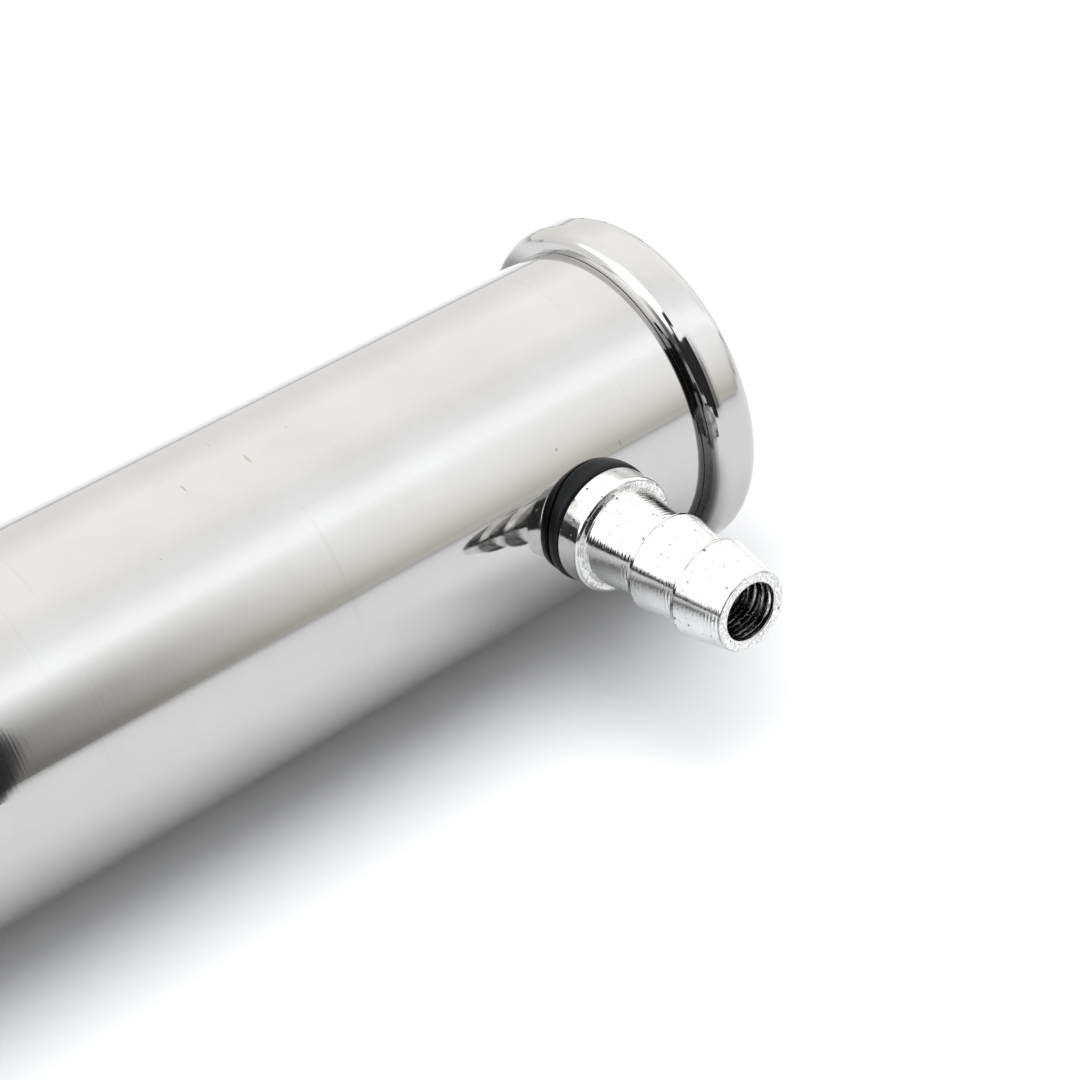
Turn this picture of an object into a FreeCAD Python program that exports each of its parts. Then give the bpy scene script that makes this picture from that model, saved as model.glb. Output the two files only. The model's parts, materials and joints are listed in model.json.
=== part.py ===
import FreeCAD, Part
import os

import Sketcher

# Carbon dioxide diffuser for an aquarium.  The gas enters the side hose barb, fills the
# chamber behind the inlet end cap, passes the bulkhead into the bore of a porous ceramic
# tube and leaves through the ceramic as fine bubbles, out of the long window in the wall.
# X runs along the tube, towards the barb's end; the barb points to -Y; Z is up.
# The origin is on the tube's axis, halfway between the two end faces.

SHEET = "Dims"

# Driving dimensions, in millimetres.
DIMENSIONS = {
    # Polished tube with a long window and a hole for the barb
    "tube_radius": 8.0,
    "tube_bore": 6.8,
    "tube_half": 41.98,
    "tube_chamfer": 0.25,
    "window_start": -31.0,
    "window_end": 21.0,
    "window_half_width": 5.8,
    "window_corner": 1.6,
    "barb_place": 35.0,
    "barb_hole": 2.7,
    "cutter_reach": 10.0,
    # End caps: a rounded rim outside the tube and a threaded plug inside it
    "rim_back": 42.0,
    "rim_front": 45.0,
    "rim_radius": 9.07,
    "rim_front_round": 1.12,
    "rim_back_round": 0.88,
    "plug_radius": 6.75,
    "plug_chamfer": 0.3,
    "plug_root": 41.8,
    "inlet_plug_end": 38.5,
    "far_plug_end": 36.9,
    "cap_recess_radius": 4.6,
    "cap_recess_floor": 43.4,
    "thread_pitch": 0.8,
    "thread_crest": 0.14,
    "thread_depth": 0.36,
    # Round-section rubber rings of the caps and the bulkhead
    "ring_cord": 0.47,
    "ring_centre": 6.27,
    "ring_groove": 5.76,
    "ring_groove_width": 1.1,
    # Side hose barb, measured from the tube's axis
    "collar_radius": 2.95,
    "collar_start": 8.62,
    "collar_end": 10.05,
    "collar_front_round": 0.24,
    "collar_back_round": 0.1,
    "ridge_radius": 2.48,
    "ridge_land": 0.22,
    "neck_radius": 1.98,
    "ridge_two": 13.05,
    "ridge_three": 15.95,
    "barb_tip": 18.7,
    "tip_round": 0.07,
    "gas_bore": 1.45,
    "stud_radius": 2.5,
    "stud_end": 3.7,
    "stud_thread_depth": 0.3,
    # Rubber ring under the barb's collar
    "barb_ring_bore": 2.57,
    "barb_ring_radius": 3.06,
    "barb_ring_foot": 7.2,
    "barb_ring_round": 0.22,
    "rubber_gap": 0.03,
    # Threaded boss inside the wall
    "boss_half_length": 3.15,
    "boss_half_width": 4.4,
    "boss_face": 3.4,
    "boss_bore": 2.55,
    "boss_corner": 1.2,
    "boss_reach": 6.78,
    # Bulkhead between the gas chamber and the ceramic tube
    "bulkhead_start": 25.0,
    "bulkhead_end": 30.0,
    "bulkhead_radius": 6.76,
    "bulkhead_socket": 5.6,
    "bulkhead_floor": 27.42,
    "bulkhead_groove": 28.7,
    "gas_hole": 1.5,
    # Snap ring that holds the bulkhead
    "snap_start": 30.04,
    "snap_width": 0.8,
    "snap_bore": 6.05,
    "snap_radius": 7.08,
    "snap_half_gap": 1.9,
    "snap_groove_start": 30.0,
    "snap_groove_end": 30.88,
    "snap_groove_radius": 7.12,
    # Ceramic tube with its seals and its closed end
    "ceramic_radius": 5.3,
    "ceramic_bore": 3.3,
    "ceramic_start": -33.2,
    "ceramic_end": 26.4,
    "ceramic_chamfer": 0.2,
    "gasket_thickness": 1.0,
    "inlet_gasket_bore": 2.2,
    "far_gasket_bore": 3.16,
    "gasket_radius": 5.5,
    "end_plug_spigot": 3.1,
    "end_plug_tip": -29.0,
    "end_plug_radius": 6.4,
    "end_plug_back": -36.2,
    "washer_bore": 1.5,
    "washer_radius": 6.3,
    "washer_back": -36.82,
}

# Whole turns of the modelled threads.
INLET_THREAD_TURNS = 2
FAR_THREAD_TURNS = 4
STUD_THREAD_TURNS = 4

# How closely a measured place or size must match the wanted one, in millimetres.
MATCH = 1e-3


def dims(formula):
    """Turn the alias names in a formula into references to the sheet."""
    words = formula.replace("(", " ( ").replace(")", " ) ").split()
    return " ".join(f"{SHEET}.{word}" if word in DIMENSIONS else word for word in words)


def make_sheet(doc):
    """Write the driving dimensions into the document's spreadsheet."""
    sheet = doc.addObject("Spreadsheet::Sheet", SHEET)
    for row, (alias, value) in enumerate(DIMENSIONS.items(), start=1):
        sheet.set(f"A{row}", alias)
        sheet.set(f"B{row}", str(value))
        sheet.setAlias(f"B{row}", alias)
    doc.recompute()


def value_of(owner, formula):
    """Work out a formula of the sheet's aliases."""
    return float(owner.evalExpression(dims(formula)))


def new_body(doc, name, place=None):
    """Start a body, moved along X by a formula where one is given."""
    body = doc.addObject("PartDesign::Body", name)
    body.Label = name
    if place is not None:
        body.setExpression("Placement.Base.x", dims(place))
    return body


def new_sketch(body, plane, name):
    """Start a sketch on one of the body's own origin planes."""
    sketch = body.newObject("Sketcher::SketchObject", name)
    planes = [feature for feature in body.Origin.OriginFeatures if feature.Role == plane]
    sketch.AttachmentSupport = [(planes[0], "")]
    sketch.MapMode = "FlatFace"
    return sketch


def fix_point(sketch, geometry, point, formulas):
    """Bind a point's two distances from the sketch's origin to formulas."""
    for kind, axis, formula in (("DistanceX", -2, formulas[0]), ("DistanceY", -1, formulas[1])):
        size = value_of(sketch, formula)
        if size == 0:
            sketch.addConstraint(Sketcher.Constraint("PointOnObject", geometry, point, axis))
            continue
        index = sketch.addConstraint(Sketcher.Constraint(kind, -1, 1, geometry, point, size))
        sketch.setExpression(f"Constraints[{index}]", dims(formula))


def add_outline(sketch, corners):
    """Draw a closed outline of straight lines through corners given as pairs of formulas."""
    places = [FreeCAD.Vector(value_of(sketch, u), value_of(sketch, v), 0) for u, v in corners]
    count = len(corners)
    first = sketch.GeometryCount
    for index in range(count):
        line = Part.LineSegment(places[index], places[(index + 1) % count])
        sketch.addGeometry(line, False)
    for index in range(count):
        after = first + (index + 1) % count
        sketch.addConstraint(Sketcher.Constraint("Coincident", first + index, 2, after, 1))
    for index, corner in enumerate(corners):
        fix_point(sketch, first + index, 1, corner)


def add_circle(sketch, centre, radius):
    """Draw a circle whose centre is a pair of formulas and whose radius is a formula."""
    middle = FreeCAD.Vector(value_of(sketch, centre[0]), value_of(sketch, centre[1]), 0)
    size = value_of(sketch, radius)
    index = sketch.addGeometry(Part.Circle(middle, FreeCAD.Vector(0, 0, 1), size), False)
    fix_point(sketch, index, 3, centre)
    limit = sketch.addConstraint(Sketcher.Constraint("Radius", index, size))
    sketch.setExpression(f"Constraints[{limit}]", dims(radius))


def turn(doc, body, sketch, axis="H_Axis"):
    """Turn a sketch about its own X axis (H_Axis) or Y axis (V_Axis)."""
    feature = body.newObject("PartDesign::Revolution", f"{body.Label}_turned")
    feature.Profile = sketch
    feature.ReferenceAxis = (sketch, [axis])
    feature.Angle = 360.0
    doc.recompute()


def turned_body(doc, name, corners, place=None, axis="H_Axis"):
    """Make a body by turning an outline."""
    body = new_body(doc, name, place)
    sketch = new_sketch(body, "XY_Plane", f"{name}_profile")
    add_outline(sketch, corners)
    turn(doc, body, sketch, axis)
    return body


def pocket(doc, body, sketch, length=None, towards_positive=True):
    """Pocket a sketch, one way along its plane's normal axis or both ways through all."""
    before = body.Shape.Volume
    feature = body.newObject("PartDesign::Pocket", f"{sketch.Label}_pocket")
    feature.Profile = sketch
    if length is None:
        feature.Type = "ThroughAll"
        feature.Midplane = True
    else:
        feature.Type = "Length"
        feature.Reversed = not towards_positive
        feature.setExpression("Length", dims(length))
    doc.recompute()
    if body.Shape.Volume > before - MATCH:
        raise RuntimeError(f"{feature.Label} cuts nothing")


def dress(doc, body, kind, name, test, formula):
    """Fillet or chamfer the edges of a body that pass a test, by a formula's size."""
    base = body.Tip
    names = [f"Edge{i}" for i, edge in enumerate(base.Shape.Edges, start=1) if test(edge)]
    if not names:
        raise RuntimeError(f"{name} finds no edge")
    feature = body.newObject(f"PartDesign::{kind}", name)
    feature.Base = (base, names)
    size_name = "Radius" if kind == "Fillet" else "Size"
    feature.setExpression(size_name, dims(formula))
    doc.recompute()


def circles_at(axis, *rings):
    """Make a test for round edges, each given by its place on an axis and its radius."""
    def test(edge):
        if not isinstance(edge.Curve, Part.Circle):
            return False
        along = getattr(edge.Curve.Center, axis)
        size = edge.Curve.Radius
        return any(abs(along - place) < MATCH and abs(size - radius) < MATCH for place, radius in rings)
    return test


def straight_along(axis):
    """Make a test for straight edges that run along an axis."""
    def test(edge):
        if not isinstance(edge.Curve, Part.Line):
            return False
        run = edge.Vertexes[-1].Point - edge.Vertexes[0].Point
        return abs(abs(getattr(run, axis)) - run.Length) < MATCH
    return test


def thread_teeth(start, way, radius, depth, turns):
    """List the corners of a thread's teeth as place and radius, from a start one way."""
    tooth = "( thread_pitch - thread_crest ) / 2"
    corners = []
    for index in range(turns):
        near = f"{start} {way} thread_pitch * {index}"
        corners.append((near, radius))
        corners.append((f"{near} {way} {tooth}", f"{radius} - {depth}"))
        corners.append((f"{near} {way} 2 * {tooth}", radius))
    return corners


def make_tube(doc):
    """Body tube with its snap ring groove, its window on +Y and its barb hole on -Y."""
    body = turned_body(doc, "body_tube", [
        ("0 - tube_half", "tube_bore"),
        ("0 - tube_half", "tube_radius"),
        ("tube_half", "tube_radius"),
        ("tube_half", "tube_bore"),
        ("snap_groove_end", "tube_bore"),
        ("snap_groove_end", "snap_groove_radius"),
        ("snap_groove_start", "snap_groove_radius"),
        ("snap_groove_start", "tube_bore"),
    ])
    window = new_sketch(body, "XZ_Plane", "window")
    add_outline(window, [
        ("window_start", "0 - window_half_width"),
        ("window_start", "window_half_width"),
        ("window_end", "window_half_width"),
        ("window_end", "0 - window_half_width"),
    ])
    pocket(doc, body, window, "cutter_reach", towards_positive=True)
    if body.Shape.Solids[0].CenterOfMass.y > 0:
        raise RuntimeError("the window is on the wrong side")
    dress(doc, body, "Fillet", "window_corners", straight_along("y"), "window_corner")
    hole = new_sketch(body, "XZ_Plane", "barb_hole")
    add_circle(hole, ("barb_place", "0"), "barb_hole")
    pocket(doc, body, hole, "cutter_reach", towards_positive=False)
    half, bore = DIMENSIONS["tube_half"], DIMENSIONS["tube_bore"]
    mouths = circles_at("x", (half, bore), (-half, bore))
    dress(doc, body, "Chamfer", "mouths", mouths, "tube_chamfer")


def make_cap(doc, name, side, plug_end, turns):
    """End cap: side is 1 at the inlet end and -1 at the far end."""
    groove_end = "plug_root - ring_groove_width"
    corners = [
        ("rim_front", "0"),
        ("rim_front", "rim_radius"),
        ("rim_back", "rim_radius"),
        ("rim_back", "plug_radius"),
        ("plug_root", "plug_radius"),
        ("plug_root", "ring_groove"),
        (groove_end, "ring_groove"),
        (groove_end, "plug_radius"),
        *thread_teeth(f"{groove_end} - thread_crest", "-", "plug_radius", "thread_depth", turns),
        (plug_end, "plug_radius"),
        (plug_end, "cap_recess_radius"),
        ("cap_recess_floor", "cap_recess_radius"),
        ("cap_recess_floor", "0"),
    ]
    corners = [(f"{side} * ( {place} )", radius) for place, radius in corners]
    body = turned_body(doc, name, corners)
    rim, plug = DIMENSIONS["rim_radius"], DIMENSIONS["plug_radius"]
    front = circles_at("x", (side * DIMENSIONS["rim_front"], rim))
    dress(doc, body, "Fillet", f"{name}_front", front, "rim_front_round")
    back = circles_at("x", (side * DIMENSIONS["rim_back"], rim))
    dress(doc, body, "Fillet", f"{name}_back", back, "rim_back_round")
    tip = circles_at("x", (side * DIMENSIONS[plug_end], plug))
    dress(doc, body, "Chamfer", f"{name}_tip", tip, "plug_chamfer")


def make_cord_ring(doc, name, place):
    """Round-section rubber ring about the tube's axis."""
    body = new_body(doc, name)
    section = new_sketch(body, "XY_Plane", f"{name}_section")
    add_circle(section, (place, "ring_centre"), "ring_cord")
    turn(doc, body, section)


def make_barb(doc):
    """Hose barb: threaded stud, collar, three ridges that taper to the tip, gas bore."""
    teeth = thread_teeth("stud_end + thread_crest", "+", "stud_radius", "stud_thread_depth",
                         STUD_THREAD_TURNS)
    profile = [
        ("stud_end", "gas_bore"),
        ("stud_end", "stud_radius"),
        *teeth,
        ("collar_start", "stud_radius"),
        ("collar_start", "collar_radius"),
        ("collar_end", "collar_radius"),
        ("collar_end", "ridge_radius"),
        ("ridge_two", "neck_radius"),
        ("ridge_two", "ridge_radius"),
        ("ridge_two + ridge_land", "ridge_radius"),
        ("ridge_three", "neck_radius"),
        ("ridge_three", "ridge_radius"),
        ("ridge_three + ridge_land", "ridge_radius"),
        ("barb_tip", "neck_radius"),
        ("barb_tip", "gas_bore"),
    ]
    corners = [(radius, f"0 - ( {place} )") for place, radius in profile]
    body = turned_body(doc, "hose_barb", corners, "barb_place", "V_Axis")
    place, collar = DIMENSIONS["barb_place"], DIMENSIONS["collar_radius"]
    front = circles_at("y", (-DIMENSIONS["collar_end"], collar))
    dress(doc, body, "Fillet", "collar_front", front, "collar_front_round")
    back = circles_at("y", (-DIMENSIONS["collar_start"], collar))
    dress(doc, body, "Fillet", "collar_back", back, "collar_back_round")
    tip = -DIMENSIONS["barb_tip"]
    rings = circles_at("y", (tip, DIMENSIONS["neck_radius"]), (tip, DIMENSIONS["gas_bore"]))
    dress(doc, body, "Fillet", "tip_edges", rings, "tip_round")


def make_barb_ring(doc):
    """Rubber ring under the barb's collar, whose foot follows the tube's wall."""
    body = turned_body(doc, "barb_o_ring", [
        ("barb_ring_bore", "0 - barb_ring_foot"),
        ("barb_ring_radius", "0 - barb_ring_foot"),
        ("barb_ring_radius", "rubber_gap - collar_start"),
        ("barb_ring_bore", "rubber_gap - collar_start"),
    ], "barb_place", "V_Axis")
    height = DIMENSIONS["rubber_gap"] - DIMENSIONS["collar_start"]
    top = circles_at("y", (height, DIMENSIONS["barb_ring_radius"]))
    dress(doc, body, "Fillet", "ring_top", top, "barb_ring_round")
    wall = new_sketch(body, "YZ_Plane", "wall")
    add_circle(wall, ("0", "0"), "tube_radius + rubber_gap")
    pocket(doc, body, wall)


def make_boss(doc):
    """Threaded block brazed inside the wall, which the barb's stud screws into."""
    body = new_body(doc, "barb_boss", "barb_place")
    block = new_sketch(body, "YZ_Plane", "boss_section")
    add_outline(block, [
        ("0 - tube_radius", "0 - boss_half_width"),
        ("0 - tube_radius", "boss_half_width"),
        ("0 - boss_face", "boss_half_width"),
        ("0 - boss_face", "0 - boss_half_width"),
    ])
    pad = body.newObject("PartDesign::Pad", "boss_block")
    pad.Profile = block
    pad.Midplane = True
    pad.setExpression("Length", dims("2 * boss_half_length"))
    doc.recompute()
    dress(doc, body, "Fillet", "boss_corners", straight_along("y"), "boss_corner")
    outside = new_sketch(body, "YZ_Plane", "boss_outside")
    add_circle(outside, ("0", "0"), "boss_reach")
    add_circle(outside, ("0", "0"), "cutter_reach")
    pocket(doc, body, outside)
    hole = new_sketch(body, "XZ_Plane", "boss_hole")
    add_circle(hole, ("0", "0"), "boss_bore")
    pocket(doc, body, hole)


def make_snap_ring(doc):
    """Open spring-steel ring in the wall's groove, behind the bulkhead."""
    body = new_body(doc, "bulkhead_snap_ring", "snap_start")
    section = new_sketch(body, "YZ_Plane", "snap_section")
    add_circle(section, ("0", "0"), "snap_radius")
    add_circle(section, ("0", "0"), "snap_bore")
    pad = body.newObject("PartDesign::Pad", "snap_pad")
    pad.Profile = section
    pad.setExpression("Length", dims("snap_width"))
    doc.recompute()
    gap = new_sketch(body, "YZ_Plane", "snap_gap")
    add_outline(gap, [
        ("0 - snap_half_gap", "tube_radius"),
        ("snap_half_gap", "tube_radius"),
        ("snap_half_gap", "snap_bore / 2"),
        ("0 - snap_half_gap", "snap_bore / 2"),
    ])
    pocket(doc, body, gap)


def make_ceramic_parts(doc):
    """Bulkhead, ceramic tube, its two gaskets, its end plug and the thrust washer."""
    turned_body(doc, "gas_bulkhead", [
        ("bulkhead_start", "bulkhead_socket"),
        ("bulkhead_start", "bulkhead_radius"),
        ("bulkhead_groove - ring_groove_width / 2", "bulkhead_radius"),
        ("bulkhead_groove - ring_groove_width / 2", "ring_groove"),
        ("bulkhead_groove + ring_groove_width / 2", "ring_groove"),
        ("bulkhead_groove + ring_groove_width / 2", "bulkhead_radius"),
        ("bulkhead_end", "bulkhead_radius"),
        ("bulkhead_end", "gas_hole"),
        ("bulkhead_floor", "gas_hole"),
        ("bulkhead_floor", "bulkhead_socket"),
    ])
    turned_body(doc, "inlet_ceramic_gasket", [
        ("ceramic_end", "inlet_gasket_bore"),
        ("ceramic_end", "gasket_radius"),
        ("ceramic_end + gasket_thickness", "gasket_radius"),
        ("ceramic_end + gasket_thickness", "inlet_gasket_bore"),
    ])
    ceramic = turned_body(doc, "ceramic_tube", [
        ("ceramic_start", "ceramic_bore"),
        ("ceramic_start", "ceramic_radius"),
        ("ceramic_end", "ceramic_radius"),
        ("ceramic_end", "ceramic_bore"),
    ])
    outer = DIMENSIONS["ceramic_radius"]
    ends = (DIMENSIONS["ceramic_start"], DIMENSIONS["ceramic_end"])
    edges = circles_at("x", (ends[0], outer), (ends[1], outer))
    dress(doc, ceramic, "Chamfer", "ceramic_edges", edges, "ceramic_chamfer")
    turned_body(doc, "far_ceramic_gasket", [
        ("ceramic_start", "far_gasket_bore"),
        ("ceramic_start", "gasket_radius"),
        ("ceramic_start - gasket_thickness", "gasket_radius"),
        ("ceramic_start - gasket_thickness", "far_gasket_bore"),
    ])
    turned_body(doc, "ceramic_end_plug", [
        ("end_plug_back", "0"),
        ("end_plug_back", "end_plug_radius"),
        ("ceramic_start - gasket_thickness", "end_plug_radius"),
        ("ceramic_start - gasket_thickness", "end_plug_spigot"),
        ("end_plug_tip", "end_plug_spigot"),
        ("end_plug_tip", "0"),
    ])
    turned_body(doc, "thrust_washer", [
        ("end_plug_back", "washer_bore"),
        ("end_plug_back", "washer_radius"),
        ("washer_back", "washer_radius"),
        ("washer_back", "washer_bore"),
    ])


def check(doc):
    """Stop if any object failed or any body has no valid solid."""
    for item in doc.Objects:
        if "Invalid" in item.State or "Error" in item.State:
            raise RuntimeError(f"{item.Label} failed: {item.State}")
    for body in doc.findObjects("PartDesign::Body"):
        shape = body.Shape
        if shape.isNull() or not shape.isValid() or len(shape.Solids) != 1:
            raise RuntimeError(f"{body.Label} is not one valid solid")


def main():
    doc = FreeCAD.newDocument("diffuser")
    make_sheet(doc)
    make_tube(doc)
    make_cap(doc, "inlet_end_cap", 1, "inlet_plug_end", INLET_THREAD_TURNS)
    make_cap(doc, "far_end_cap", -1, "far_plug_end", FAR_THREAD_TURNS)
    ring_place = "plug_root - ring_groove_width / 2"
    make_cord_ring(doc, "inlet_cap_o_ring", ring_place)
    make_cord_ring(doc, "far_cap_o_ring", f"0 - ( {ring_place} )")
    make_cord_ring(doc, "bulkhead_o_ring", "bulkhead_groove")
    make_barb(doc)
    make_barb_ring(doc)
    make_boss(doc)
    make_snap_ring(doc)
    make_ceramic_parts(doc)
    doc.recompute()
    check(doc)
    os.makedirs("parts", exist_ok=True)
    for body in doc.findObjects("PartDesign::Body"):
        body.Shape.exportStep(f"parts/{body.Label}.step")
        box = body.Shape.BoundBox
        print(f"{body.Label}: {body.Shape.Volume:.1f} mm3, "
              f"x {box.XMin:.2f} to {box.XMax:.2f}, y {box.YMin:.2f} to {box.YMax:.2f}, "
              f"z {box.ZMin:.2f} to {box.ZMax:.2f}")


main()
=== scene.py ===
"""Looks of an aquarium carbon dioxide diffuser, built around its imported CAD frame.

X runs along the tube, the hose barb points to -Y and Z is up.  Sizes are in millimetres
until a mesh is made, and the mesh is in metres.
"""

import json
import math

import bmesh
import bpy
import numpy as np
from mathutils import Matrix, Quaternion, Vector


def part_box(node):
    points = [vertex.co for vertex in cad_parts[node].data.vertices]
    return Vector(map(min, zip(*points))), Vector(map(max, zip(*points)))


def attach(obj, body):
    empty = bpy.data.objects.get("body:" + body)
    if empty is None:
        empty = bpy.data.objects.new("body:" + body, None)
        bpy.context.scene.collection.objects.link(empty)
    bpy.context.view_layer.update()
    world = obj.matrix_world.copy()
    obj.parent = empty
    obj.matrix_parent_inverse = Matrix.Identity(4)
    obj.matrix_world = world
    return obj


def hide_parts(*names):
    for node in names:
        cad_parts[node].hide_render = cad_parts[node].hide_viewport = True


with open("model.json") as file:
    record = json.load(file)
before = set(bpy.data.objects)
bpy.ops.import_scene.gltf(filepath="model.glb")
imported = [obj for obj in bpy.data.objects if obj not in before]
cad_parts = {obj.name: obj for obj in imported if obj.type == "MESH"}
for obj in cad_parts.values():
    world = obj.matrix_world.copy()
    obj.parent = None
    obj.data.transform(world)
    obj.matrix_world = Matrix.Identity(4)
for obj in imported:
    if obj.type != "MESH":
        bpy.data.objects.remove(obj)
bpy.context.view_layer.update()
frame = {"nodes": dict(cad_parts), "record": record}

MM = 0.001
BARB_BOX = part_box("hose_barb")
BARB_PLACE = (BARB_BOX[0].x + BARB_BOX[1].x) / 2 / MM

# Tube wall, its window on +Y and the snap ring's groove
TUBE_RADIUS = 8.0
TUBE_BORE = 6.8
TUBE_HALF = 41.98
TUBE_EDGE = 0.03
TUBE_CHAMFER = 0.25
WINDOW = (-31.0, 21.0)
WINDOW_HALF_WIDTH = 5.8
WINDOW_CORNER = 1.6
WINDOW_EDGE = 0.12
SNAP_GROOVE = (30.0, 30.88)
SNAP_GROOVE_RADIUS = 7.12
BARB_HOLE = 2.7

# Caps
RIM = (42.0, 45.0)
RIM_RADIUS = 9.07
RIM_BACK_ROUND = 0.88
RIM_FRONT_ROUND = 1.12
PLUG_RADIUS = 6.75
PLUG_ROOT = 41.8
SEAL_GROOVE = 5.76
SEAL_GROOVE_END = 40.7
CAP_RECESS = 4.6
CAP_RECESS_FLOOR = 43.4
THREAD_PITCH = 0.8
THREAD_CREST = 0.14
THREAD_DEPTH = 0.36
SEAL_CORD = 0.47
SEAL_CENTRE = 6.27
SEAL_INSET = 0.55
# Where each cap's plug ends, and its turns of thread.
INLET_PLUG = (38.5, 2)
FAR_PLUG = (36.9, 4)

# Hose barb, measured from the tube's axis
COLLAR = (8.62, 10.05)
COLLAR_RADIUS = 2.95
RIDGE_RADIUS = 2.48
NECK_RADIUS = 1.98
RIDGES = (10.05, 13.05, 15.95)
RIDGE_LAND = 0.22
BARB_TIP = 18.7
GAS_BORE = 1.45
STUD_RADIUS = 2.5
STUD_END = 3.7
STUD_THREAD_DEPTH = 0.3
STUD_THREAD_END = 7.04
SEAL_BORE = 2.57
SEAL_RADIUS = 3.06
SEAL_TOP = 8.59
SEAL_SQUARENESS = 0.62
RUBBER_GAP = 0.03
# Tool rings on the barb's cones: depth, and the rate, start and share of each wave.
TOOL_RING_DEPTH = 0.002
TOOL_RING_WAVES = ((47, 0, 1.0), (71, 1, 1.0), (113, 2, 0.6))
# Deeper rings at the foot of each cone.
FOOT_RING_DEPTH = 0.009
FOOT_RING_PITCH = 0.19
# Torn spirals that the drill left in the bore.
BORE_SPIRAL_DEPTH = 0.028
BORE_SPIRAL_LEADS = (0.47, 0.31)
BORE_WAVE_DEPTH = 0.01

# Ceramic tube
CERAMIC = (-33.2, 26.4)
CERAMIC_RADIUS = 5.3
CERAMIC_BORE = 3.3
CERAMIC_CHAMFER = 0.2
CERAMIC_GRAIN = 0.012
CERAMIC_WAVE = 0.01

# Painted shade in the crease behind a rim: where it fades beyond the rim's back, the height
# over which it fades, and how dark it is.
PAINTED_SHADE_DEPTH = (0.1, 0.34)
PAINTED_SHADE_TOP = (5.4, 7.0)
PAINTED_CREASE_SHADE = 0.7
# Dark lines along the barb's outer edges: how far in from an edge, and their half width, sharp and
# faded.
EDGE_INSET = 0.03
EDGE_LINE = (0.025, 0.07)

# Facets of a full turn, steps of a rounded corner, the angle in degrees from which an edge
# stays sharp, and the distance within which points are joined.
SEGMENTS = 256
ROUND_STEPS = 8
SHARP_ANGLE = 38
MERGE_DISTANCE = 1e-4
# Rings of the grid over which the window's round corners fade out, and their spacing in X.
WINDOW_RINGS = 8
WINDOW_STEP = 0.2


# Meshes

def make_object(name, points, faces):
    """Make a smooth mesh object from points in millimetres, with sharp edges kept."""
    mesh = bpy.data.meshes.new(name)
    mesh.from_pydata((np.asarray(points) * MM).tolist(), [], faces)
    work = bmesh.new()
    work.from_mesh(mesh)
    bmesh.ops.remove_doubles(work, verts=work.verts, dist=MERGE_DISTANCE * MM)
    bmesh.ops.recalc_face_normals(work, faces=work.faces)
    work.to_mesh(mesh)
    work.free()
    mesh.shade_smooth()
    mesh.set_sharp_from_angle(angle=math.radians(SHARP_ANGLE))
    piece = bpy.data.objects.new(name, mesh)
    bpy.context.scene.collection.objects.link(piece)
    return piece


def rounded(corners):
    """Round a closed outline's corners, each given as place, radius and size of round."""
    points = []
    count = len(corners)
    for index, (place, radius, size) in enumerate(corners):
        corner = np.array((place, radius))
        if size == 0:
            points.append(corner)
            continue
        before = np.array(corners[index - 1][:2]) - corner
        after = np.array(corners[(index + 1) % count][:2]) - corner
        before = before / np.linalg.norm(before)
        after = after / np.linalg.norm(after)
        half = math.acos(np.clip(before @ after, -1, 1)) / 2
        middle = (before + after) / np.linalg.norm(before + after)
        centre = corner + middle * size / math.sin(half)
        start = corner + before * size / math.tan(half) - centre
        end = corner + after * size / math.tan(half) - centre
        sweep = math.pi - 2 * half
        for step in range(ROUND_STEPS + 1):
            share = step / ROUND_STEPS
            spoke = start * math.sin((1 - share) * sweep) + end * math.sin(share * sweep)
            points.append(centre + spoke / math.sin(sweep))
    return points


def filled(points, spacing, closed=True):
    """Add points to an outline's straight runs: near both ends, and at most a spacing apart."""
    made = []
    count = len(points)
    near = 0.03
    for index in range(count if closed else count - 1):
        start = np.array(points[index])
        end = np.array(points[(index + 1) % count])
        length = np.linalg.norm(end - start)
        made.append(start)
        if length < 4 * near:
            continue
        pieces = max(1, math.ceil((length - 2 * near) / spacing))
        for share in np.linspace(near / length, 1 - near / length, pieces + 1):
            made.append(start + (end - start) * share)
    if not closed:
        made.append(np.array(points[-1]))
    return made


def turned(name, outline, closed=True, across=False, relief=None, segments=SEGMENTS):
    """Turn an outline of (place, radius) about X, or about -Y at the barb's place if across.

    relief takes each point's place, radius and angle and gives what to add to its radius.
    """
    outline = np.array(outline)
    place = np.repeat(outline[:, :1], segments, axis=1)
    radius = np.repeat(outline[:, 1:], segments, axis=1)
    angle = np.arange(segments)[None, :] * 2 * math.pi / segments + 0 * place
    if relief is not None:
        radius = radius + relief(place, radius, angle)
    if across:
        points = np.stack([BARB_PLACE + radius * np.cos(angle), -place, radius * np.sin(angle)], -1)
    else:
        points = np.stack([place, radius * np.cos(angle), radius * np.sin(angle)], -1)
    rows = len(outline)
    faces = []
    for row in range(rows if closed else rows - 1):
        near, far = row * segments, (row + 1) % rows * segments
        for step in range(segments):
            after = (step + 1) % segments
            faces.append((near + step, near + after, far + after, far + step))
    return make_object(name, points.reshape(-1, 3), faces)


def smooth_step(value, low, high):
    """Rise smoothly from 0 at low to 1 at high."""
    share = np.clip((value - low) / (high - low), 0, 1)
    return share * share * (3 - 2 * share)


def thread_cut(along, angle, depth):
    """Depth of a right-handed V thread at a distance along its axis and an angle about it."""
    phase = (along / THREAD_PITCH - angle / (2 * math.pi)) % 1 * THREAD_PITCH
    flank = THREAD_PITCH - THREAD_CREST
    return depth * np.clip(1 - np.abs(2 * phase / flank - 1), 0, 1)


def tube_lines():
    """List the lines that run along the tube: window lines by z, then the rest by a share."""
    edge = WINDOW_HALF_WIDTH
    fine = np.linspace(edge - 2.2, edge, 12)
    middle = np.linspace(-fine[0], fine[0], 19)[1:-1]
    window = np.concatenate([-fine[::-1], middle, fine])
    rest = np.linspace(0, 1, 200)[1:-1]
    return window, rest


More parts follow.
